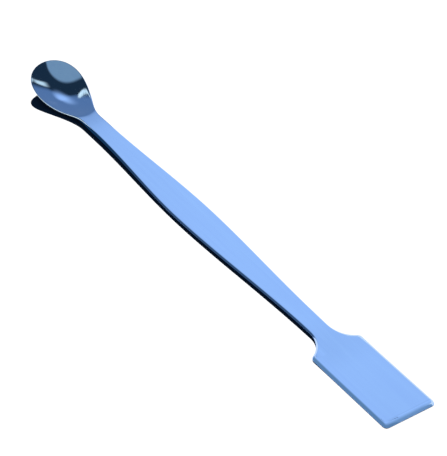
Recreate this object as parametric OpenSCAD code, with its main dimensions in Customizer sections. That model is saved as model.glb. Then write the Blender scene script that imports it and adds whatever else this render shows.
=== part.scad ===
// Laboratory spatula, forged in one piece from round bar: an egg-shaped bowl at one end,
// a slim handle that swells in the middle, and a flat blade at the other end.
// It lies as it rests on a bench: X runs from the bowl (-X) to the blade (+X), Z is up,
// and the origin is on the bench under the middle of the length. Sizes are millimetres.

/* [Overall] */
// Length from the tip of the bowl to the end of the blade
total_len = 180; // [150:1:220]

/* [Bowl] */
// Length of the bowl's egg-shaped outline
bowl_len = 31; // [26:0.5:34]
// Width of the bowl at its widest
bowl_w = 16.4; // [12:0.2:20]
// How far the outline draws in towards the handle, where 0 would be an ellipse
bowl_egg = 0.8; // [0.3:0.05:0.85]
// Distance from the tip to the lowest place of the rim
rim_low = 16; // [14:0.2:17]
// Radius that the rim rises along from there to the tip
rim_tip_r = 21.8; // [19:0.2:30]
// Radius that the rim rises along from there to the handle
rim_neck_r = 28; // [24:1:36]
// Distance from the tip to the lowest point of the hollow's middle line
keel_low = 13; // [11:0.2:14]
// Radius of the middle line from there up to the handle
keel_neck_r = 48; // [40:1:60]
// Radius of the hollow across the bowl
hollow_side_r = 17; // [14:0.5:20]
// How much the sides of the hollow flatten towards the rim
rim_flare = 0.15; // [0:0.05:0.3]
// Height that the handle's upper face sinks to where the hollow begins
lip_h = 1.9; // [1.75:0.05:2.1]
// Thickness of the bowl's wall at the middle line
bowl_wall = 0.6; // [0.5:0.05:0.9]
// Share of that thickness which the wall loses towards the rim
rim_thinning = 0.35; // [0.2:0.05:0.4]

/* [Handle] */
// Width of the neck beside the bowl
bowl_neck_w = 5.85; // [4.5:0.05:7]
// Thickness of the neck beside the bowl
bowl_neck_t = 1.85; // [1.4:0.05:2.15]
// Height of the upper face there
bowl_neck_h = 2.2; // [2.1:0.05:2.8]
// Distance from the tip of the bowl to that neck
bowl_neck_dist = 33.5; // [33:0.5:40]
// Width of the handle where it swells most
belly_w = 9.9; // [7:0.1:13]
// Thickness of the handle there
belly_t = 1.35; // [1:0.05:1.45]
// Height of the upper face there
belly_h = 1.5; // [1.45:0.05:2.2]
// Distance from the tip of the bowl to the widest part of the handle
belly_dist = 81; // [60:1:90]
// Width of the neck beside the blade
blade_neck_w = 5.6; // [4.5:0.1:7]
// Thickness of the neck beside the blade
blade_neck_t = 1.4; // [1.1:0.05:1.45]
// Height of the upper face there
blade_neck_h = 1.5; // [1.45:0.05:2.2]

/* [Blade] */
// Length of the blade's straight sides
blade_len = 29.8; // [20:0.2:50]
// Width of the blade
blade_w = 16; // [12:0.1:22]
// Thickness of the blade
blade_t = 1; // [0.8:0.05:1.4]
// Radius of the two corners at the blade's end
blade_corner_r = 1.3; // [1:0.1:3]
// Radius of the convex shoulders
shoulder_r = 1.8; // [1.2:0.1:3.5]
// Radius of the concave sweep from the neck into each shoulder
sweep_r = 8.2; // [6.2:0.1:10]

/* [Edges] */
// Radius of the rounding along the bowl's rim and the handle
edge_round = 0.3; // [0.2:0.05:0.35]
// Width, seen from above, of the rounding along the blade's sides
side_round = 0.8; // [0.4:0.05:0.9]
// Width of the rounding at the blade's end
end_round = 1.4; // [0.8:0.05:1.6]
// Height of the rounding on the blade
blade_drop = 0.95; // [0.4:0.05:1]
// How slanted that rounding ends: 1 is a quarter round that ends upright, 2 ends at a slope
blade_slant = 1.6; // [1:0.1:2.5]
// Height of the edge line, as a share of the thickness, along the bowl and the handle
edge_share = 0.35; // [0.2:0.05:0.5]
// Height of the edge line, as a share of the thickness, on the blade
blade_edge_share = 0.05; // [0.01:0.01:0.4]

/* [Hidden] */

tip_x = -total_len / 2;
end_x = total_len / 2;
rim_low_x = tip_x + rim_low;
keel_low_x = tip_x + keel_low;
// Up to here the hollow alone shapes the upper face, and the wall keeps its pressed thickness.
wall_reach = 3;
wall_end_x = rim_low_x + wall_reach;
bowl_neck_x = tip_x + bowl_neck_dist;
belly_x = tip_x + belly_dist;
side_x = end_x - blade_len;

// The middle line and the rim meet at the tip, so the middle line's radius there follows.
tip_rise = rim_tip_r - sqrt(rim_tip_r ^ 2 - rim_low ^ 2);
keel_tip_r = (keel_low ^ 2 + tip_rise ^ 2) / (2 * tip_rise);

// The sweep and the shoulder are two arcs that touch, so their centres are both radii apart.
sweep_y = blade_neck_w / 2 + sweep_r;
shoulder_y = blade_w / 2 - shoulder_r;
sweep_x = side_x - sqrt((sweep_r + shoulder_r) ^ 2 - (sweep_y - shoulder_y) ^ 2);
sweep_turn = acos((sweep_y - shoulder_y) / (sweep_r + shoulder_r));
// The handle thins into the blade over a longer stretch than the sweep.
thin_from_x = sweep_x - 6;
thin_to_x = side_x + 8;

// Egg-shaped outline: its half width is a sine wave weighted towards the tip.
egg_a = bowl_len / 2;
egg_x = tip_x + egg_a;
function egg_wave(t) = sin(t) * (1 - bowl_egg * cos(t));
egg_gain = bowl_w / 2 / max([for (t = [0 : 1 : 180]) egg_wave(t)]);
// Power of the smooth maximum that joins the egg to the neck
join_power = 5;
// Softness of the crease where the handle's flat face drops into the hollow
crease_soft = 0.12;
// Radius of the corners where the blade's end and side roundings meet its face
face_corner_r = 0.3;
// Least half width that the hollow's shape is worked out with, at the very tip
least_y = 0.01;

// Sizes that change along the spatula: each list holds its [place, size] stations.
HALF_WIDTHS = [
    [wall_end_x, bowl_neck_w / 2], [bowl_neck_x, bowl_neck_w / 2],
    [belly_x, belly_w / 2], [sweep_x, blade_neck_w / 2]
];
FACE_HEIGHTS = [
    [wall_end_x, lip_h], [bowl_neck_x, bowl_neck_h], [belly_x, belly_h],
    [thin_from_x, blade_neck_h], [thin_to_x, blade_t]
];
THICKNESSES = [
    [wall_end_x, bowl_wall], [bowl_neck_x, bowl_neck_t], [belly_x, belly_t],
    [thin_from_x, blade_neck_t], [thin_to_x, blade_t]
];
THINNINGS = [[wall_end_x, rim_thinning], [bowl_neck_x, 0]];
ROUNDINGS = [[sweep_x, edge_round], [side_x, side_round]];
DROPS = [[sweep_x, edge_round], [side_x, blade_drop]];
SLANTS = [[sweep_x, 1], [side_x, blade_slant]];
EDGE_SHARES = [[sweep_x, edge_share], [side_x, blade_edge_share]];

// Number of steps along each stretch of the outline
end_steps = 4;
corner_steps = 5;
side_steps = 7;
arc_steps = 7;
handle_steps = 26;
egg_steps = 26;
// Steps of the edge rounding, and shares of the way in from it to the middle line
round_steps = 3;
IN_SHARES = [0.22, 0.44, 0.66, 0.88];

// The size at x, passing from station to station along a smooth S
function eased(t) = t ^ 2 * (3 - 2 * t);
function share(x, from, to) = eased(min(1, max(0, (x - from[0]) / (to[0] - from[0]))));
function along(x, sizes, k = 0) =
    k == len(sizes) - 2 || x < sizes[k + 1][0]
    ? sizes[k][1] + (sizes[k + 1][1] - sizes[k][1]) * share(x, sizes[k], sizes[k + 1])
    : along(x, sizes, k + 1);

// Half width of the bowl at x, where the egg runs out into the neck
function egg_y(x) =
    max(0, egg_gain * egg_wave(acos(min(1, max(-1, (x - egg_x) / egg_a)))));
function bowl_y(x) =
    x < rim_low_x ? egg_y(x)
    : (egg_y(x) ^ join_power + along(x, HALF_WIDTHS) ^ join_power) ^ (1 / join_power);

// Upper face: flat across the handle and the blade, hollow in the bowl. The hollow rises from
// its middle line to the rim, and both rise from their lowest points along two arcs each.
function rise(run, tip_r, neck_r) =
    let (r = run < 0 ? tip_r : neck_r) r - sqrt(max(0, r ^ 2 - run ^ 2));
function keel_z(x) = rise(x - keel_low_x, keel_tip_r, keel_neck_r);
function rim_z(x) =
    rise(x - rim_low_x, rim_tip_r, rim_neck_r) + bowl_y(x) ^ 2 / (2 * hollow_side_r);
function across(x, y) = min(1, abs(y) / max(least_y, bowl_y(x)));
function dish(a) = a ^ 2 * (1 + rim_flare - rim_flare * a ^ 2);
function hollow_z(x, y) =
    bowl_wall + keel_z(x) + (rim_z(x) - keel_z(x)) * dish(across(x, y));
function soft_min(a, b) = -crease_soft * ln(exp(-a / crease_soft) + exp(-b / crease_soft));
function face_z(x, y) =
    x > bowl_neck_x ? along(x, FACE_HEIGHTS)
    : x > wall_end_x ? soft_min(along(x, FACE_HEIGHTS), hollow_z(x, y))
    : hollow_z(x, y);

// Underside: the thickness below the upper face, measured square to the rising wall at the tip
function steepness(x) =
    let (run = min(0, x - keel_low_x)) run / sqrt(keel_tip_r ^ 2 - run ^ 2);
function under_z(x, y) =
    face_z(x, y) - along(x, THICKNESSES) * sqrt(1 + steepness(x) ^ 2)
    * (1 - along(x, THINNINGS) * across(x, y) ^ 2);

// Half outline from the middle of the blade's end, round the +Y side, to the tip of the bowl.
// The blade's part is drawn for its outline, and again for the line where its face begins.
function blade_part(end, half_w, corner_r) = concat(
    [for (k = [0 : end_steps - 1]) [end, (half_w - corner_r) * k / end_steps]],
    [for (k = [0 : corner_steps])
        [end - corner_r, half_w - corner_r]
        + corner_r * [cos(90 * k / corner_steps), sin(90 * k / corner_steps)]],
    [for (k = [1 : side_steps - 1])
        [end - corner_r - (end - corner_r - side_x) * k / side_steps, half_w]]
);
NECK_PART = concat(
    [for (k = [0 : arc_steps])
        [side_x, shoulder_y]
        + shoulder_r * [-sin(sweep_turn * k / arc_steps), cos(sweep_turn * k / arc_steps)]],
    [for (k = [1 : arc_steps])
        [sweep_x, sweep_y]
        + sweep_r * [sin(sweep_turn * (1 - k / arc_steps)),
                     -cos(sweep_turn * (1 - k / arc_steps))]],
    [for (k = [1 : handle_steps])
        let (x = sweep_x + (egg_x + egg_a - sweep_x) * k / handle_steps)
            [x, along(x, HALF_WIDTHS)]],
    [for (k = [1 : egg_steps]) let (x = egg_x + egg_a * cos(180 * k / egg_steps)) [x, bowl_y(x)]]
);
function both_sides(half) =
    concat(half, [for (k = [len(half) - 2 : -1 : 1]) [half[k][0], -half[k][1]]]);
RING = both_sides(concat(blade_part(end_x, blade_w / 2, blade_corner_r), NECK_PART));
BLADE_FACE = both_sides(concat(
    blade_part(end_x - end_round, blade_w / 2 - side_round, face_corner_r), NECK_PART));
ring_count = len(RING);
half_count = ring_count / 2;

function ring_at(k) = RING[(k + ring_count) % ring_count];
function inward(k) =
    let (run = ring_at(k + 1) - ring_at(k - 1)) [-run[1], run[0]] / norm(run);
FACE_LINE = [for (k = [0 : ring_count - 1])
    RING[k][0] > side_x ? BLADE_FACE[k] : RING[k] + inward(k) * along(RING[k][0], ROUNDINGS)];
// Point of the middle line that a point of the outline is joined to: the one abreast of it,
// and near the two ends a point this far in, so that the rows turn round the end
fan_in = 8;
fan_slant = 0.25;
function core(k) =
    let (x = ring_at(k)[0], y = ring_at(k)[1])
    [min(end_x - fan_in - fan_slant * abs(y), max(tip_x + fan_in, x)), 0];

// A point of the skin: side is 1 on the upper face and -1 on the underside, and turn goes from
// 0 at the edge line to 90 where the rounding ends; inner then goes on to the middle line.
function skin(k, side, turn, inner) =
    let (
        start = RING[k] + (FACE_LINE[k] - RING[k]) * (1 - cos(turn)),
        at = start + (core(k) - start) * inner,
        top = face_z(at[0], at[1]),
        low = under_z(at[0], at[1]),
        edge = low + (top - low) * along(at[0], EDGE_SHARES),
        drop = along(at[0], DROPS),
        left = 1 - sin(turn) ^ along(at[0], SLANTS)
    )
    [at[0], at[1],
     turn == 0 ? edge
     : side > 0 ? top - min(drop, top - edge) * left
     : low + min(drop, edge - low) * left];

// Rows of the skin, each a closed ring of points: the edge line, then the upper face inwards,
// then the underside inwards.
STEPS_IN = concat(
    [for (k = [1 : round_steps]) [90 * k / round_steps, 0]],
    [for (s = IN_SHARES) [90, s]]
);
rows_in = len(STEPS_IN);
POINTS = concat(
    [for (k = [0 : ring_count - 1]) skin(k, 1, 0, 0)],
    [for (s = STEPS_IN, k = [0 : ring_count - 1]) skin(k, 1, s[0], s[1])],
    [for (s = STEPS_IN, k = [0 : ring_count - 1]) skin(k, -1, s[0], s[1])]
);

function id(row, k) = row * ring_count + (k + ring_count) % ring_count;
// Two triangles of one cell, split the same way on both sides of the middle line
function cell(a, b, c, d, flip) = flip ? [[a, b, d], [b, c, d]] : [[a, b, c], [a, c, d]];
function band(outer, inner, up) = [
    for (k = [0 : ring_count - 1])
        let (a = id(outer, k), b = id(outer, k + 1), c = id(inner, k + 1), d = id(inner, k))
        each up ? cell(d, c, b, a, k < half_count) : cell(a, b, c, d, k < half_count)
];
function middle(row, up) = [
    for (k = [0 : half_count - 1])
        let (a = id(row, k), b = id(row, k + 1), c = id(row, -k - 1), d = id(row, -k),
             loop = k == 0 ? [a, b, c] : k == half_count - 1 ? [a, b, d] : [a, b, c, d],
             turned = up ? [for (j = [len(loop) - 1 : -1 : 0]) loop[j]] : loop)
        each len(turned) == 3 ? [turned]
            : cell(turned[0], turned[1], turned[2], turned[3], false)
];
FACES = concat(
    band(0, 1, true),
    [for (r = [1 : rows_in - 1]) each band(r, r + 1, true)],
    middle(rows_in, true),
    band(0, rows_in + 1, false),
    [for (r = [rows_in + 1 : 2 * rows_in - 1]) each band(r, r + 1, false)],
    middle(2 * rows_in, false)
);

module spatula() {
    color("cornflowerblue")
        polyhedron(points = POINTS, faces = FACES, convexity = 6);
}

spatula();
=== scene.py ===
"""A laboratory spatula, forged in one piece and polished, lying on a white bench under studio light."""
import math

import bpy
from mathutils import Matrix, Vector


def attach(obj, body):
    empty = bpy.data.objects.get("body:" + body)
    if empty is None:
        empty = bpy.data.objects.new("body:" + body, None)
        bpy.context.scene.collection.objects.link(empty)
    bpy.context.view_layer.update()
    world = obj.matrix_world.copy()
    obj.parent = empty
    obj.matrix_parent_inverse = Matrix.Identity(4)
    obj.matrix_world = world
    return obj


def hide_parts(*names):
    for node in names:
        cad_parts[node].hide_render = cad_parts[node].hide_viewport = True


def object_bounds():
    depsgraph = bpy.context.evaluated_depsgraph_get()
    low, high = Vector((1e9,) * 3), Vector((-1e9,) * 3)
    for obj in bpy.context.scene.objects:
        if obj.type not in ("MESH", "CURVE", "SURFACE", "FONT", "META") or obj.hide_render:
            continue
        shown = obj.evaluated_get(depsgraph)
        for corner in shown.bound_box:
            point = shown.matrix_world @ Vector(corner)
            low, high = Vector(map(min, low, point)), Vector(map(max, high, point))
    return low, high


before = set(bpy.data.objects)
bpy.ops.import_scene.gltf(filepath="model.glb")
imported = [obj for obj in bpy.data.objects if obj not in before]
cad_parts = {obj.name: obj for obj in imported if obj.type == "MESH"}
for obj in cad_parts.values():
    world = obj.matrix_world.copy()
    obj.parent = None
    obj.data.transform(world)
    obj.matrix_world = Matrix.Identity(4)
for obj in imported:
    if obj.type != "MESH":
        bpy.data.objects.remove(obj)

cad_low, cad_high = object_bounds()

# ---- Blank ---------------------------------------------------------------------------------
# The steel bar is first forged and ground to the spatula's outline: an egg-shaped end for the
# bowl, a slim handle that swells in the middle, and a blade with rounded shoulders and corners.
# It is made flat here, upper and lower skin alike, and the next section gives it its heights.
MM = 0.001
tip_x, end_x = cad_low.x, cad_high.x
bowl_len, bowl_w, bowl_egg = 31 * MM, cad_high.y - cad_low.y, 0.8
bowl_neck_w, belly_w, blade_neck_w = 5.85 * MM, 9.9 * MM, 5.6 * MM
blade_len, blade_w, blade_corner_r = 29.8 * MM, 16.0 * MM, 1.3 * MM
shoulder_r, sweep_r = 1.8 * MM, 8.2 * MM
edge_round, side_round, end_round, face_corner_r = 0.3 * MM, 0.8 * MM, 1.4 * MM, 0.3 * MM
rim_low_x, keel_low_x = tip_x + 16 * MM, tip_x + 13 * MM
wall_end_x = rim_low_x + 3 * MM
bowl_neck_x = tip_x + 33.5 * MM
belly_x = tip_x + 81 * MM
side_x = end_x - blade_len

# The concave sweep and the convex shoulder are arcs that touch, both radii apart.
sweep_y = blade_neck_w / 2 + sweep_r
shoulder_y = blade_w / 2 - shoulder_r
sweep_x = side_x - math.sqrt((sweep_r + shoulder_r) ** 2 - (sweep_y - shoulder_y) ** 2)
sweep_turn = math.acos((sweep_y - shoulder_y) / (sweep_r + shoulder_r))
# The handle thins into the blade over a longer stretch than the sweep.
thin_from_x, thin_to_x = sweep_x - 6 * MM, side_x + 8 * MM
# Steps along each stretch of the outline, round its edge, and from there in to the middle
end_steps, corner_steps, side_steps, shoulder_steps, sweep_steps = 8, 10, 24, 14, 16
handle_steps, egg_steps, round_steps, face_steps = 70, 110, 7, 16
# Power of the smooth maximum that joins the egg to the neck, and the least half width at the tip
join_power = 5
least_y = 0.01 * MM
# Near both ends the rows of the skin turn round a point of the middle line this far in; the
# slant takes the blade's further in towards its sides.
fan_in, fan_slant = 8 * MM, 0.25


def eased(x, stations):
    """A size that passes from each (place, size) to the next along a smooth S."""
    size = stations[0][1]
    for (x0, size0), (x1, size1) in zip(stations, stations[1:]):
        t = min(1, max(0, (x - x0) / (x1 - x0)))
        size += (size1 - size0) * t * t * (3 - 2 * t)
    return size


def handle_y(x):
    return eased(x, [(wall_end_x, bowl_neck_w / 2), (bowl_neck_x, bowl_neck_w / 2),
                     (belly_x, belly_w / 2), (sweep_x, blade_neck_w / 2)])


def turns(last, steps):
    return [last * k / steps for k in range(steps + 1)]


def egg(turn):
    """Half width of the bowl's egg: a sine wave weighted towards the tip."""
    return math.sin(turn) * (1 - bowl_egg * math.cos(turn))


egg_gain = bowl_w / 2 / max(egg(turn) for turn in turns(math.pi, 720))


def bowl_y(x):
    """Half width of the bowl, where the egg runs out into the neck."""
    turn = math.acos(min(1, max(-1, (x - tip_x) / (bowl_len / 2) - 1)))
    y = max(0, egg_gain * egg(turn))
    if x < rim_low_x:
        return y
    return (y ** join_power + handle_y(x) ** join_power) ** (1 / join_power)


def blade_outline(end, half_w, corner_r):
    """From the middle of the blade's end, round one corner, to where the shoulder begins."""
    corner_x, corner_y = end - corner_r, half_w - corner_r
    points = [(end, corner_y * k / end_steps) for k in range(end_steps)]
    points += [(corner_x + corner_r * math.cos(a), corner_y + corner_r * math.sin(a))
               for a in turns(math.pi / 2, corner_steps)]
    return points + [(corner_x + (side_x - corner_x) * k / side_steps, half_w)
                     for k in range(1, side_steps)]


def neck_outline():
    """From the shoulder, along the handle, to the tip of the bowl."""
    points = [(side_x - shoulder_r * math.sin(a), shoulder_y + shoulder_r * math.cos(a))
              for a in turns(sweep_turn, shoulder_steps)]
    points += [(sweep_x + sweep_r * math.sin(a), sweep_y - sweep_r * math.cos(a))
               for a in reversed(turns(sweep_turn, sweep_steps)[:-1])]
    bowl_start = tip_x + bowl_len
    points += [(x, handle_y(x)) for x in (sweep_x + (bowl_start - sweep_x) * k / handle_steps
                                          for k in range(1, handle_steps + 1))]
    egg_x = [tip_x + bowl_len / 2 * (1 + math.cos(turn)) for turn in turns(math.pi, egg_steps)[1:]]
    return points + [(x, bowl_y(x)) for x in egg_x]


def both_sides(half):
    return [Vector(p) for p in half + [(x, -y) for x, y in reversed(half[1:-1])]]


def inward(k):
    """The way in from a point of the outline, square to its run there."""
    run = (outline[(k + 1) % len(outline)] - outline[k - 1]).normalized()
    return Vector((-run.y, run.x))


outline = both_sides(blade_outline(end_x, blade_w / 2, blade_corner_r) + neck_outline())
# Where the rounding of the edge ends and the face begins
face_line = both_sides(blade_outline(end_x - end_round, blade_w / 2 - side_round, face_corner_r)
                       + neck_outline())
for k, point in enumerate(outline):
    if point.x <= side_x:
        width = eased(point.x, [(sweep_x, edge_round), (side_x, side_round)])
        face_line[k] = point + inward(k) * width
rows = [(turn, 0) for turn in turns(math.pi / 2, round_steps)]
rows += [(math.pi / 2, k / face_steps) for k in range(1, face_steps + 1)]


def blank_point(k, turn, share):
    """A point of the skin in plan: turn goes round the edge, then share goes in to the middle."""
    start = outline[k].lerp(face_line[k], 1 - math.cos(turn))
    blade_most = end_x - fan_in - fan_slant * abs(outline[k].y)
    middle = Vector((min(blade_most, max(tip_x + fan_in, outline[k].x)), 0))
    return start.lerp(middle, share)


def blank_mesh():
    """Both skins, with the numbers that the node tree needs at each point."""
    vertices, faces, edge_turn, half_width = [], [], [], []
    count = len(outline)
    for side in (1, -1):
        first = len(vertices)
        for turn, share in rows:
            for k in range(count):
                x, y = blank_point(k, turn, share)
                vertices.append((x, y, 0))
                edge_turn.append(side * turn)
                half_width.append(max(least_y, bowl_y(x)))
        for row in range(len(rows) - 1):
            for k in range(count):
                a, b = first + row * count + k, first + row * count + (k + 1) % count
                ring = (a, b, b + count, a + count)
                faces.append(ring if side > 0 else ring[::-1])
    mesh = bpy.data.meshes.new("spatula_blank")
    mesh.from_pydata(vertices, [], faces)
    mesh.attributes.new("edge_turn", "FLOAT", "POINT").data.foreach_set("value", edge_turn)
    mesh.attributes.new("half_width", "FLOAT", "POINT").data.foreach_set("value", half_width)
    return mesh


blank = bpy.data.objects.new("spatula_blank", blank_mesh())
bpy.context.scene.collection.objects.link(blank)

# ---- Forged heights ------------------------------------------------------------------------
# The blank is pressed and ground: the hollow is sunk into the bowl, the handle is thickest at
# its two necks, and the blade is flat. A node tree works the height of every point of the skin
# out from these sizes, and closes the two skins along the middle.
SIZES = {
    "Bowl wall": 0.6 * MM, "Rim tip radius": 21.8 * MM, "Rim neck radius": 28 * MM,
    "Keel tip radius": 15.58 * MM, "Keel neck radius": 48 * MM, "Bowl side radius": 17 * MM,
    "Crease softness": 0.12 * MM, "Lip height": 1.9 * MM, "Rim thinning": 0.35, "Rim flare": 0.15,
    "Bowl neck height": 2.2 * MM, "Bowl neck thickness": 1.85 * MM,
    "Belly height": 1.5 * MM, "Belly thickness": 1.35 * MM,
    "Blade neck height": 1.5 * MM, "Blade neck thickness": 1.4 * MM,
    "Blade thickness": 1.0 * MM, "Handle edge share": 0.35, "Blade edge share": 0.05,
    "Handle edge drop": 0.3 * MM, "Blade edge drop": 0.95 * MM, "Blade edge slant": 1.6,
}
# Points of the two skins closer than this are welded together.
weld_reach = 0.002 * MM


class Formula:
    """A number field in a node tree, so that a rule is written as a sum."""
    tree = None

    def __init__(self, socket):
        self.socket = socket

    @classmethod
    def math(cls, operation, *values, clamp=False):
        node = cls.tree.nodes.new("ShaderNodeMath")
        node.operation, node.use_clamp = operation, clamp
        for value, socket in zip(values, node.inputs):
            if isinstance(value, Formula):
                cls.tree.links.new(value.socket, socket)
            else:
                socket.default_value = value
        return Formula(node.outputs[0])

    def __add__(self, other): return self.math("ADD", self, other)
    def __sub__(self, other): return self.math("SUBTRACT", self, other)
    def __mul__(self, other): return self.math("MULTIPLY", self, other)
    def __truediv__(self, other): return self.math("DIVIDE", self, other)
    def __pow__(self, other): return self.math("POWER", self, other)
    def __neg__(self): return self.math("MULTIPLY", self, -1)
    def abs(self): return self.math("ABSOLUTE", self)
    def sqrt(self): return self.math("SQRT", self)

    def where(self, yes, no):
        """yes where this is 1 and no where it is 0."""
        return no + (yes - no) * self


def forging_tree():
    """The rules that turn the flat blank into the spatula; its inputs are the sizes."""
    tree = bpy.data.node_groups.new("Forged heights", "GeometryNodeTree")
    Formula.tree = tree
    face = tree.interface
    face.new_socket("Geometry", in_out="INPUT", socket_type="NodeSocketGeometry")
    for name in SIZES:
        face.new_socket(name, in_out="INPUT", socket_type="NodeSocketFloat")
    face.new_socket("Steel", in_out="INPUT", socket_type="NodeSocketMaterial")
    face.new_socket("Geometry", in_out="OUTPUT", socket_type="NodeSocketGeometry")
    given = tree.nodes.new("NodeGroupInput")
    size = {name: Formula(given.outputs[name]) for name in SIZES}
    place = tree.nodes.new("ShaderNodeSeparateXYZ")
    tree.links.new(tree.nodes.new("GeometryNodeInputPosition").outputs[0], place.inputs[0])
    x, y = Formula(place.outputs["X"]), Formula(place.outputs["Y"])

    def attribute(name):
        named = tree.nodes.new("GeometryNodeInputNamedAttribute")
        named.data_type = "FLOAT"
        named.inputs["Name"].default_value = name
        return Formula(named.outputs["Attribute"])

    def share_of_way(x0, x1):
        t = Formula.math("DIVIDE", x - x0, x1 - x0, clamp=True)
        return t * t * (Formula.math("MULTIPLY", t, -2) + 3)

    def eased_field(*stations):
        value = stations[0][1]
        for (x0, size0), (x1, size1) in zip(stations, stations[1:]):
            value = value + (size1 - size0) * share_of_way(x0, x1)
        return value

    face_h = eased_field((wall_end_x, size["Lip height"]), (bowl_neck_x, size["Bowl neck height"]),
                         (belly_x, size["Belly height"]), (thin_from_x, size["Blade neck height"]),
                         (thin_to_x, size["Blade thickness"]))
    thickness = eased_field((wall_end_x, size["Bowl wall"]),
                            (bowl_neck_x, size["Bowl neck thickness"]),
                            (belly_x, size["Belly thickness"]),
                            (thin_from_x, size["Blade neck thickness"]),
                            (thin_to_x, size["Blade thickness"]))

    def arcs(low, tip_radius, neck_radius):
        """The rim and the keel of the bowl rise from their lowest points along two arcs each."""
        run = x - low
        radius = Formula.math("LESS_THAN", run, 0).where(tip_radius, neck_radius)
        return radius - Formula.math("MAXIMUM", radius * radius - run * run, 0).sqrt()

    half_width = attribute("half_width")
    keel = arcs(keel_low_x, size["Keel tip radius"], size["Keel neck radius"])
    rim = (arcs(rim_low_x, size["Rim tip radius"], size["Rim neck radius"])
           + half_width * half_width / (size["Bowl side radius"] * 2))
    across = Formula.math("MINIMUM", (y / half_width).abs(), 1)
    dish = across * across * (size["Rim flare"] + 1 - size["Rim flare"] * across * across)
    hollow = size["Bowl wall"] + keel + (rim - keel) * dish
    # Where the handle runs out into the hollow, the lower of the two counts, with a soft crease.
    soft = size["Crease softness"]
    both = Formula.math("EXPONENT", -(face_h / soft)) + Formula.math("EXPONENT", -(hollow / soft))
    pressed = -(Formula.math("LOGARITHM", both, math.e) * soft)
    in_bowl = Formula.math("LESS_THAN", x, wall_end_x)
    on_handle = Formula.math("GREATER_THAN", x, bowl_neck_x)
    upper = in_bowl.where(hollow, on_handle.where(face_h, pressed))
    # The thickness is measured square to the rising wall at the tip.
    rise = Formula.math("MINIMUM", x - keel_low_x, 0)
    slope = rise * rise / (size["Keel tip radius"] * size["Keel tip radius"] - rise * rise)
    thinned = size["Rim thinning"] * share_of_way(bowl_neck_x, wall_end_x) * across * across
    lower = upper - thickness * (slope + 1).sqrt() * (-thinned + 1)
    # The edge line lies between the two skins, and both round off towards it.
    edge_share = eased_field((sweep_x, size["Handle edge share"]), (side_x, size["Blade edge share"]))
    edge = lower + (upper - lower) * edge_share
    drop = eased_field((sweep_x, size["Handle edge drop"]), (side_x, size["Blade edge drop"]))
    turn = attribute("edge_turn")
    slant = (size["Blade edge slant"] - 1) * share_of_way(sweep_x, side_x) + 1
    left = -(Formula.math("SINE", turn.abs()) ** slant) + 1
    above = upper - Formula.math("MINIMUM", drop, upper - edge) * left
    below = lower + Formula.math("MINIMUM", drop, edge - lower) * left
    rounded = Formula.math("GREATER_THAN", turn, 0).where(above, below)
    off_edge_line = Formula.math("GREATER_THAN", turn.abs(), 0.001)
    height = off_edge_line.where(rounded, edge)

    spot = tree.nodes.new("ShaderNodeCombineXYZ")
    for value, name in ((x, "X"), (y, "Y"), (height, "Z")):
        tree.links.new(value.socket, spot.inputs[name])
    move = tree.nodes.new("GeometryNodeSetPosition")
    tree.links.new(spot.outputs[0], move.inputs["Position"])
    merge = tree.nodes.new("GeometryNodeMergeByDistance")
    merge.inputs["Distance"].default_value = weld_reach
    smooth = tree.nodes.new("GeometryNodeSetShadeSmooth")
    whole = tree.nodes.new("GeometryNodeRealizeInstances")
    paint = tree.nodes.new("GeometryNodeSetMaterial")
    tree.links.new(given.outputs["Steel"], paint.inputs["Material"])
    out = tree.nodes.new("NodeGroupOutput")
    chain = (given, move, merge, smooth, whole, paint, out)
    for giver, taker in zip(chain, chain[1:]):
        tree.links.new(giver.outputs[0], taker.inputs[0])
    return tree


# ---- Polished steel ------------------------------------------------------------------------
# Stainless steel, mirror polished on felt wheels. The wheels ran along the handle, so they left
# faint fine lines lengthwise; the rims and edges took more polish, and handling dulls the faces.
steel = bpy.data.materials.new("spatula_steel")
steel.use_nodes = True
Formula.tree = steel.node_tree
shader = steel.node_tree.nodes["Principled BSDF"]
shader.inputs["Metallic"].default_value = 1
spot = steel.node_tree.nodes.new("ShaderNodeSeparateXYZ")
steel.node_tree.links.new(steel.node_tree.nodes.new("ShaderNodeTexCoord").outputs["Object"],
                          spot.inputs[0])
x, y, z = (Formula(spot.outputs[name]) for name in "XYZ")


def grain(detail, *across):
    """A cloudy pattern, 0 to 1, over the values given; each whole number is one cloud."""
    place = Formula.tree.nodes.new("ShaderNodeCombineXYZ")
    for value, socket in zip(across, place.inputs):
        Formula.tree.links.new(value.socket, socket)
    clouds = Formula.tree.nodes.new("ShaderNodeTexNoise")
    clouds.inputs["Scale"].default_value = 1
    clouds.inputs["Detail"].default_value = detail
    Formula.tree.links.new(place.outputs[0], clouds.inputs["Vector"])
    return Formula(clouds.outputs[0])


def blended(share, first, second):
    """The first colour where share is 0 and the second where it is 1; either may be a socket."""
    node = Formula.tree.nodes.new("ShaderNodeMix")
    node.data_type = "RGBA"
    Formula.tree.links.new(share.socket, node.inputs["Factor"])
    for colour, name in ((first, "A"), (second, "B")):
        if isinstance(colour, tuple):
            node.inputs[name].default_value = (*colour, 1)
        else:
            Formula.tree.links.new(colour, node.inputs[name])
    return node.outputs["Result"]


# Fine lines 0.2 mm apart run lengthwise, and in rings round the bowl, where a small felt bob was
# used. Broader bands 1.5 mm apart are the passes of the wheel. All of these are given per metre.
fine_lines, broad_bands = 5000, 650
bob = x - (tip_x + 12 * MM)
from_bob = (bob * bob + y * y).sqrt()
in_bowl = Formula.math("DIVIDE", -x + bowl_neck_x, bowl_neck_x - rim_low_x, clamp=True)
rings = grain(2, from_bob * fine_lines, x * 60, y * 60)
lengthwise = grain(2, x * 50, y * fine_lines, z * fine_lines)
lines = in_bowl.where(rings, lengthwise)
bands = grain(1, x * 35, y * broad_bands, z * broad_bands)
smudges = grain(3, x * 90, y * 170, z * 170)
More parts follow.
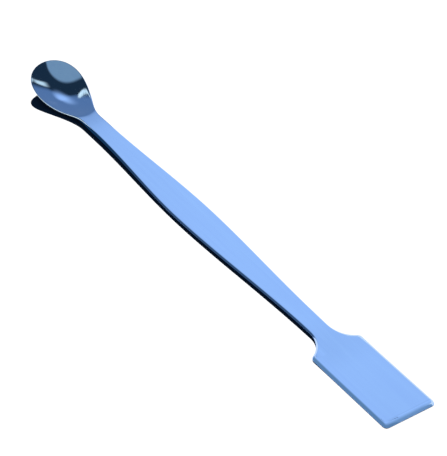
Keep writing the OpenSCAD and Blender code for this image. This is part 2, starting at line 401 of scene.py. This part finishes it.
# 1 on the edge line, and 0 from where the rounding ends
edge_turn = steel.node_tree.nodes.new("ShaderNodeAttribute")
edge_turn.attribute_name = "edge_turn"
on_edge = -(Formula(edge_turn.outputs["Fac"]).abs() / (math.pi / 2)) + 1
deep_blue, light_blue = (0.263, 0.47, 0.96), (0.295, 0.524, 1.0)
tint = (lines - 0.5) * 0.8 + (bands - 0.5) * 0.8 + on_edge * 0.2 + 0.5
steel.node_tree.links.new(blended(tint, deep_blue, light_blue), shader.inputs["Base Color"])
rough = lines * 0.02 + smudges * 0.024 - on_edge * 0.02 + 0.04
steel.node_tree.links.new(rough.socket, shader.inputs["Roughness"])
relief = steel.node_tree.nodes.new("ShaderNodeBump")
relief.inputs["Strength"].default_value = 1
relief.inputs["Distance"].default_value = 0.0012 * MM
steel.node_tree.links.new(lines.socket, relief.inputs["Height"])
steel.node_tree.links.new(relief.outputs["Normal"], shader.inputs["Normal"])

forge = blank.modifiers.new("forge", "NODES")
forge.node_group = forging_tree()
sockets = {item.name: item.identifier for item in forge.node_group.interface.items_tree
           if item.in_out == "INPUT"}
for name, value in SIZES.items():
    forge[sockets[name]] = value
forge[sockets["Steel"]] = steel
forged = blank.evaluated_get(bpy.context.evaluated_depsgraph_get())
spatula_mesh = bpy.data.meshes.new_from_object(forged)
spatula_mesh.name = "spatula_forged"
bpy.data.objects.remove(blank)
spatula = bpy.data.objects.new("spatula_forged", spatula_mesh)
bpy.context.scene.collection.objects.link(spatula)
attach(spatula, "root")
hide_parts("spatula")

# ---- Bench ---------------------------------------------------------------------------------
# A matt white bench top. It is lit once by the key light: light that has already bounced off
# it finds it black, so that the shadow under the spatula stays deep.
bench_reach = 4.0
bench_corners = [(-bench_reach, -bench_reach, 0), (bench_reach, -bench_reach, 0),
                 (bench_reach, bench_reach, 0), (-bench_reach, bench_reach, 0)]
bench_mesh = bpy.data.meshes.new("bench")
bench_mesh.from_pydata(bench_corners, [], [(0, 1, 2, 3)])
bench = bpy.data.objects.new("bench", bench_mesh)
bpy.context.scene.collection.objects.link(bench)
bench_white = bpy.data.materials.new("bench_white")
bench_white.use_nodes = True
Formula.tree = bench_white.node_tree
bench_shader = bench_white.node_tree.nodes["Principled BSDF"]
bench_shader.inputs["Roughness"].default_value = 1
bench_shader.inputs["Specular IOR Level"].default_value = 0
bench_path = bench_white.node_tree.nodes.new("ShaderNodeLightPath").outputs
bench_first = Formula.math("LESS_THAN", Formula(bench_path["Diffuse Depth"]), 1)
bench_white.node_tree.links.new(blended(bench_first, (0.0, 0.0, 0.0), (0.9, 0.9, 0.9)),
                                bench_shader.inputs["Base Color"])
bench_mesh.materials.append(bench_white)

# ---- Key light -----------------------------------------------------------------------------
# One distant lamp behind the bench, small enough to cut a crisp shadow. It lights the bench
# and doesn't show in the steel.
key = bpy.data.objects.new("key", bpy.data.lights.new("key", "SUN"))
key.data.energy = 4.9
key.data.angle = math.radians(2.5)
key.rotation_mode = "QUATERNION"
key.rotation_quaternion = Vector((0.66, -0.45, -1)).to_track_quat("-Z", "Y")
key.visible_glossy = False
bpy.context.scene.collection.objects.link(key)

# ---- Edge flags ----------------------------------------------------------------------------
# Strips of card stand close round the spatula, as they do when polished metal is lit: navy by
# the handle's near edge, teal round the blade, pale along the far edge, and lit ones by the
# bowl's near rim and the blade's near shoulder. They show in the steel alone.
def flag(name, path, profile, tone):
    """A strip that follows a path of (place, way out, depth of tone). The profile lists (how far
    out, height, how much the card covers, how much of its tone shows), in mm; the rest of it is
    white."""
    vertices, faces, tones = [], [], []
    for here, out, depth in path:
        for way, height, cover, toned in profile:
            vertices.append((*(here + out * way * MM), height * MM))
            tones += (*Vector((1, 1, 1)).lerp(tone, toned * depth), cover)
    columns = len(profile)
    for row in range(len(path) - 1):
        for column in range(columns - 1):
            a = row * columns + column
            faces.append((a, a + 1, a + columns + 1, a + columns))
    mesh = bpy.data.meshes.new(name)
    mesh.from_pydata(vertices, [], faces)
    mesh.attributes.new("tone", "FLOAT_COLOR", "POINT").data.foreach_set("color", tones)
    mesh.materials.append(flag_card)
    card = bpy.data.objects.new(name, mesh)
    bpy.context.scene.collection.objects.link(card)
    card.visible_camera = card.visible_diffuse = card.visible_shadow = False
    card.visible_transmission = card.visible_volume_scatter = False


def outline_path(side, from_x, to_x, deeper=0.0):
    """Along one side of the spatula; the tone is deeper beside the bowl, by the share given."""
    depths = [(bowl_neck_x, 1 + deeper), (belly_x, 1)]
    return [(point, -inward(k), eased(point.x, depths)) for k, point in enumerate(outline)
            if point.y * side > 0 and from_x <= point.x <= to_x]


def straight_path(out, *stops):
    return [(Vector((x, y)), Vector(out), depth) for x, y, depth in stops]


flag_card = bpy.data.materials.new("flag_card")
flag_card.use_nodes = True
flag_card.cycles.emission_sampling = "NONE"
Formula.tree = flag_card.node_tree
card_nodes, card_links = flag_card.node_tree.nodes, flag_card.node_tree.links
card_tone = card_nodes.new("ShaderNodeAttribute")
card_tone.attribute_name = "tone"
card_glow = card_nodes.new("ShaderNodeEmission")
card_mix = card_nodes.new("ShaderNodeMixShader")
card_links.new(card_tone.outputs["Color"], card_glow.inputs["Color"])
card_path = card_nodes.new("ShaderNodeLightPath").outputs
# The cards glow for a mirrored ray, and are dark for light that a matt surface has spread.
card_first = Formula.math("LESS_THAN", Formula(card_path["Diffuse Depth"]), 1)
card_links.new(card_first.socket, card_glow.inputs["Strength"])
card_links.new(card_tone.outputs["Alpha"], card_mix.inputs["Fac"])
card_links.new(card_nodes.new("ShaderNodeBsdfTransparent").outputs[0], card_mix.inputs[1])
card_links.new(card_glow.outputs[0], card_mix.inputs[2])
card_links.new(card_mix.outputs[0], card_nodes["Material Output"].inputs["Surface"])

navy, teal, lit, pale = (Vector(tone) for tone in ((0.1, 0.14, 0.165), (0.35, 0.43, 0.43),
                                                   (2.4, 1.7, 1.0), (1.8, 1.4, 1.0)))
flag("handle_flag", outline_path(-1, tip_x + 18 * MM, sweep_x + 1 * MM, 0.09),
     [(0.5, 0.1, 1, 1), (6, 0.1, 1, 1), (6, 6, 1, 1), (6, 12, 1, 0.8), (2, 12, 1, 0.55),
      (-1, 12, 1, 0.3), (-3, 12, 1, 0.1), (-5, 12, 1, 0), (-6, 12, 0, 0)], navy)
flag("sweep_flag", straight_path((-1, 0), (sweep_x + 1.5 * MM, -3.6 * MM, 1),
                                 (sweep_x + 1.5 * MM, -7.8 * MM, 1)),
     [(0, 0.1, 1, 0.5), (0, 11.9, 1, 0.5)], lit)
blade_side = straight_path((0, -1), (side_x - 20 * MM, -blade_w / 2, 1), (side_x, -blade_w / 2, 1))
past_end = straight_path((1, 0), (end_x, 0, 0.8), (end_x, 4 * MM, 0.8), (end_x, 8 * MM, 0.8),
                         (end_x, 11 * MM, 0.85), (end_x, 13 * MM, 0.4), (end_x, 20 * MM, 0.1))
flag("blade_flag", blade_side + outline_path(-1, side_x, end_x) + past_end,
     [(0.1, 0.1, 1, 1), (6, 0.1, 1, 1), (6, 5, 1, 1), (6, 12.2, 1, 0.7), (2, 12.2, 1, 0.4),
      (-2, 12.2, 1, 0.14), (-5, 12.2, 1, 0.02), (-7, 12.2, 1, 0), (-11, 12.2, 0, 0)], teal)
flag("far_flag", outline_path(1, tip_x + 28 * MM, end_x - 0.2 * MM),
     [(6, 0.1, 1, 1), (6, 8, 1, 1)], pale)
flag("rim_flag", outline_path(-1, tip_x + 4 * MM, tip_x + 22 * MM),
     [(3, 0.1, 1, 1), (5, 4, 1, 1), (5, 10, 1, 1)], lit)

# ---- Studio surroundings -------------------------------------------------------------------
# What the polish mirrors: a white studio with a grey wall beyond the bench, a dark ceiling and
# a round diffuser in it, with two strip lamps. They show in the steel and light nothing else.
world = bpy.data.worlds.new("studio")
bpy.context.scene.world = world
world.use_nodes = True
Formula.tree = world.node_tree
ray = world.node_tree.nodes.new("ShaderNodeTexCoord").outputs["Generated"]


def along(direction):
    node = Formula.tree.nodes.new("ShaderNodeVectorMath")
    node.operation = "DOT_PRODUCT"
    Formula.tree.links.new(ray, node.inputs[0])
    node.inputs[1].default_value = direction
    return Formula(node.outputs["Value"])


def with_panel(behind, facing, middle, half, soft, corner, colour, tilt=0.0):
    """Hangs a soft-edged panel before what is behind it. Its plane is one unit away in the
    direction facing (azimuth and elevation); middle and half are its place and half size there,
    and tilt turns it in its plane."""
    azimuth, elevation = (math.radians(angle) for angle in facing)
    ahead = Vector((math.cos(azimuth) * math.cos(elevation),
                    math.sin(azimuth) * math.cos(elevation), math.sin(elevation)))
    right = Vector((math.sin(azimuth), -math.cos(azimuth), 0))
    distance = along(ahead)
    a = along(right) / distance - middle[0]
    b = along(right.cross(ahead)) / distance - middle[1]
    cos, sin = math.cos(math.radians(tilt)), math.sin(math.radians(tilt))
    across = (a * cos + b * sin) / half[0]
    up = (b * cos - a * sin) / half[1]
    out = (across.abs() ** corner + up.abs() ** corner) ** (1 / corner)
    node = Formula.tree.nodes.new("ShaderNodeMapRange")
    node.interpolation_type = "SMOOTHSTEP"
    Formula.tree.links.new(out.socket, node.inputs["Value"])
    node.inputs["From Min"].default_value, node.inputs["From Max"].default_value = 1 + soft, 1 - soft
    cover = Formula(node.outputs["Result"]) * Formula.math("GREATER_THAN", distance, 0)
    return blended(cover, behind, colour)


studio = (1.0, 1.0, 1.0)
wall_grey = (0.271, 0.334, 0.392)
ceiling = (0.03, 0.048, 0.053)
diffuser = (0.513, 0.538, 0.454)
far_lamp, near_lamp = (1.775, 1.432, 0.92), (2.2, 1.78, 1.14)
overhead, beyond_bench = (90, 90), (142, 0)
shown = with_panel(studio, overhead, (0.1, -0.6), (1.4, 2.0), 0.05, 8, ceiling)
shown = with_panel(shown, overhead, (2.0, 1.79), (2.48, 2.41), 0.03, 2.74, diffuser)
shown = with_panel(shown, beyond_bench, (-0.21, -0.2), (1.01, 1.36), 0.21, 9.6, wall_grey)
# The opening between wall and ceiling that the flat faces mirror
shown = with_panel(shown, overhead, (-1.02, -0.79), (0.53, 0.29), 0.73, 2, studio, 18.8)
shown = with_panel(shown, overhead, (-0.05, -1.48), (0.127, 0.455), 0.64, 4, far_lamp, -3)
shown = with_panel(shown, overhead, (-0.9062, -0.0151), (0.0224, 0.28), 0.4, 2.5, near_lamp, -45.4)

path = world.node_tree.nodes.new("ShaderNodeLightPath").outputs
# A ray that the steel has mirrored twice meets a plain warm tone.
warm_tone = (1.0, 0.71, 0.44)
twice = Formula.math("GREATER_THAN", Formula(path["Glossy Depth"]), 1)
shown = blended(twice, shown, warm_tone)
# All but mirrored rays and the camera find a dim room.
dim_room = (0.004, 0.012, 0.03)
first_sight = Formula.math("LESS_THAN", Formula(path["Diffuse Depth"]), 1)
seen = blended(Formula(path["Is Glossy Ray"]) * first_sight, dim_room, shown)
seen = blended(Formula(path["Is Camera Ray"]), seen, studio)
world.node_tree.links.new(seen, world.node_tree.nodes["Background"].inputs["Color"])

# ---- Camera --------------------------------------------------------------------------------
# A long lens half a metre away looks down on the bench from beyond the blade, from the side of
# the spatula that the shadow falls on.
camera = bpy.data.objects.new("camera", bpy.data.cameras.new("camera"))
camera.data.lens = 150
camera.location = (0.34535, -0.23018, 0.32757)
camera.rotation_mode = "QUATERNION"
aim = Vector((0.001328, 0.004221, 0)) - camera.location
camera.rotation_quaternion = aim.to_track_quat("-Z", "Y")
bpy.context.scene.collection.objects.link(camera)
bpy.context.scene.camera = camera
bpy.context.scene.view_settings.view_transform = "Standard"
